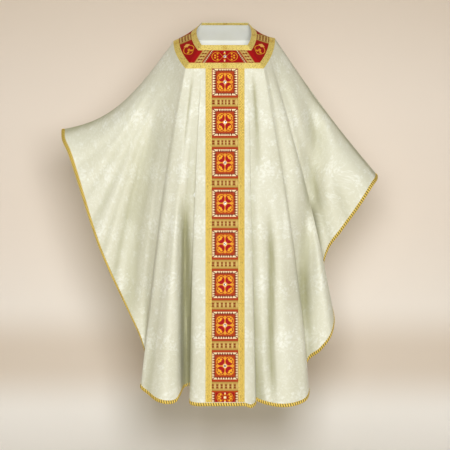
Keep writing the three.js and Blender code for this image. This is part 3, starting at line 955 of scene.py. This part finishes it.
def neck_side_finish():
    """The ribbon over the shoulders: a looped palmette to the front and back, a dotted bar on the crest."""
    finish = Finish("woven_neck_side", specular=0.15)
    x, y = finish.cut()
    band = Weave(finish, DEEP_RED)
    qx = abs(x)
    u = qx - 78
    loop = distance(u / 29, y / (1 - u.soft(0, 34) * 0.45) / 20.5)
    band.over(loop.soft(1.0, 0.95) * loop.soft(0.83, 0.88), YELLOW, gold=True)
    bloom = distance(u - 4, y).soft(5.6, 4.8)
    for dx, dy in ((7.6, 7.0), (7.6, -7.0), (-6.4, 0.0)):
        bloom = bloom.most(distance(u - 4 - dx, y - dy).soft(4.9, 4.1))
    band.over(bloom, YELLOW, gold=True)
    band.over(distance(u - 3, y).soft(1.9, 1.2), BRICK)
    petals = (abs(u + 30) * 0.4 + abs(y) * 0.36).soft(4.8, 4.0)
    band.over(petals, thread(244, 186, 92), gold=True)
    bar = Weave(finish, OLIVE_GOLD)
    dotted_bar(bar, y, qx - 8, pitch=11.5, shift=0)
    band.cover(qx.soft(23.4, 22.6), bar)
    band.over(abs(qx - 24.6).soft(1.8, 1.2), BRICK)
    woven_relief(finish, band, x, y)
    return finish.material


def crystal_finish():
    finish = Finish("crystal", roughness=0.06, metallic=0.75, specular=0.8, coat=1.0)
    place = finish.place()
    cloud = finish.noise(place, 90, detail=1.0)
    # Painted reflection: white and grey patches stand in for the glints in the stone's facets.
    finish.set(Base_Color=finish.blend(cloud.soft(0.35, 0.65), thread(240, 242, 244), thread(170, 176, 178)))
    return finish.material


def setting_finish():
    finish = Finish("stone_setting", metallic=0.6, specular=0.6)
    place = finish.place()
    cloud = finish.noise(place, 260, detail=2.0)
    finish.set(Base_Color=finish.blend(cloud, thread(240, 214, 190), thread(226, 182, 140)),
               Roughness=0.25 + cloud * 0.25)
    return finish.material


# ---------------------------------------------------------------- putting it together
damask = damask_finish()
lining = lining_finish()
gold = gold_finish()
braid = braid_finish()
orphrey = orphrey_finish()
neck_band = neck_band_finish()
neck_side_band = neck_side_finish()
crystal = crystal_finish()
setting = setting_finish()

sewn_on = {front: [], back: []}
for panel in (front, back):
    name = panel.name
    panel_sheets(panel, damask, lining)
    sewn_on[panel] += [
        ribbon_down_panel(panel, f"{name}_orphrey", 3, 4, orphrey),
        ribbon_down_panel(panel, f"{name}_galloon_left", 2, 3, gold),
        ribbon_down_panel(panel, f"{name}_galloon_right", 4, 5, gold),
        edge_braid(panel, braid),
    ]

for side, path in neck_paths().items():
    owner = back if side == "back" else front
    woven = neck_band if side in ("front", "back") else neck_side_band
    sewn_on[owner] += [
        neck_side(f"neck_inner_galloon_{side}_ribbon", gold, path, EDGE_GAP, GALLOON,
                  f"neck_inner_galloon_{side}"),
        neck_side(f"neck_band_{side}_ribbon", woven, path, GALLOON, GALLOON + NECK_BAND,
                  f"neck_band_{side}"),
        neck_side(f"neck_outer_galloon_{side}_ribbon", gold, path, GALLOON + NECK_BAND, BAND,
                  f"neck_outer_galloon_{side}"),
    ]

sewn_on[back].append(neck_side("neck_binding_back_ribbon", gold, neck_paths()["back"],
                               EDGE_GAP, BINDING, height=-LINING_DROP - LINING - EDGE_GAP))

for panel in (front, back):
    middle = (panel.at_stop[3] + panel.at_stop[4]) / 2
    at_neck = stone_on(panel, f"{panel.name}_crystal_neck", middle, (GALLOON + NECK_BAND / 2) / BAND - 1,
                       crystal, setting)
    sewn_on[panel] += at_neck
    rows = np.linspace(0, 1, 401)
    fall = panel.face(np.full(401, middle), rows)
    run = np.concatenate([[0], np.cumsum(np.linalg.norm(np.diff(fall, axis=0), axis=1))])
    for i in range(MOTIFS):
        down = np.interp(MOTIF_HEIGHT / 2 - MOTIF_TUCK + i * MOTIF_REPEAT, run, rows)
        sewn_on[panel] += stone_on(panel, f"{panel.name}_crystal_{i + 1}", middle, float(down),
                                   crystal, setting)


# ---------------------------------------------------------------- floor, lights and camera
def stage_finish():
    """Pale floor and a warm backdrop with painted shade: it darkens a little upwards and toward the sides,
    with a painted shadow band low across it.
    """
    finish = Finish("pale_floor", roughness=0.85, specular=0.15)
    parts = finish.node("ShaderNodeSeparateXYZ", None, {0: finish.place()})
    x, z = Field(finish, parts.outputs[0]), Field(finish, parts.outputs[2])
    # Painted shade: lighter at the floor, darker up the wall and toward the sides, and a painted shadow band
    # round z -1.1.
    wall = finish.blend(z.soft(-1.35, -0.5), thread(240, 236, 230), thread(230, 218, 206))
    upper = z.soft(-0.3, 0.35) * 0.8 + abs(x).soft(0.3, 1.0) * 0.15 + abs(z + 1.1).soft(0.2, 0.02) * 0.7
    cloud = finish.noise(finish.place(), 1.2, detail=2.0)
    seen_from_behind = Field(finish, finish.node("ShaderNodeNewGeometry").outputs["Backfacing"])
    finish.set(Base_Color=finish.blend(upper + cloud * 0.08, wall, thread(206, 190, 172)),
               Alpha=1 - seen_from_behind)
    return finish.material


bm = bmesh.new()
bmesh.ops.create_grid(bm, x_segments=1, y_segments=96, size=6)
for vert in bm.verts:
    run = vert.co.y
    turn = min(max((run - WALL_START) / WALL_BEND, 0), math.pi / 2)
    rise = max(run - WALL_START - WALL_BEND * math.pi / 2, 0)
    vert.co.y = min(run, WALL_START) + WALL_BEND * math.sin(turn)
    vert.co.z = WALL_BEND * (1 - math.cos(turn)) + rise + FLOOR
floor = mesh_object("floor", bm, stage_finish())
floor.visible_shadow = False


def softbox(name, place, aim, size, power, tint):
    light = bpy.data.lights.new(name, "AREA")
    light.shape, light.size, light.energy, light.color = "SQUARE", size, power, tint
    lamp = bpy.data.objects.new(name, light)
    lamp.location = place
    lamp.rotation_euler = (Vector(aim) - Vector(place)).to_track_quat("-Z", "Y").to_euler()
    bpy.context.scene.collection.objects.link(lamp)


centre = (0, 0, -0.6)
softbox("key", (0.25, -7.6, 0.3), centre, 2.0, 400, (0.975, 0.985, 1.0))
softbox("top", (-0.2, -2.6, 2.8), (0, 0, -0.1), 1.4, 20, (0.98, 0.99, 1.0))
softbox("behind", (1.0, 7.2, -0.3), centre, 2.2, 330, (0.975, 0.985, 1.0))

world = bpy.data.worlds.new("soft_room")
world.use_nodes = True
world.node_tree.nodes["Background"].inputs["Color"].default_value = (0.93, 0.92, 0.76, 1)
world.node_tree.nodes["Background"].inputs["Strength"].default_value = 0.22
bpy.context.scene.world = world
bpy.context.scene.view_settings.view_transform = "Standard"

DISTANCE, FRAME_WIDTH, FRAME_CENTRE = 20.0, 1.5, -0.643
camera_data = bpy.data.cameras.new("camera")
camera_data.sensor_width = 36
camera_data.lens = 36 * DISTANCE / FRAME_WIDTH
camera = bpy.data.objects.new("camera", camera_data)
camera.location = (0, -DISTANCE - 0.1, FRAME_CENTRE)
camera.rotation_euler = (math.pi / 2, 0, 0)
bpy.context.scene.collection.objects.link(camera)
bpy.context.scene.camera = camera
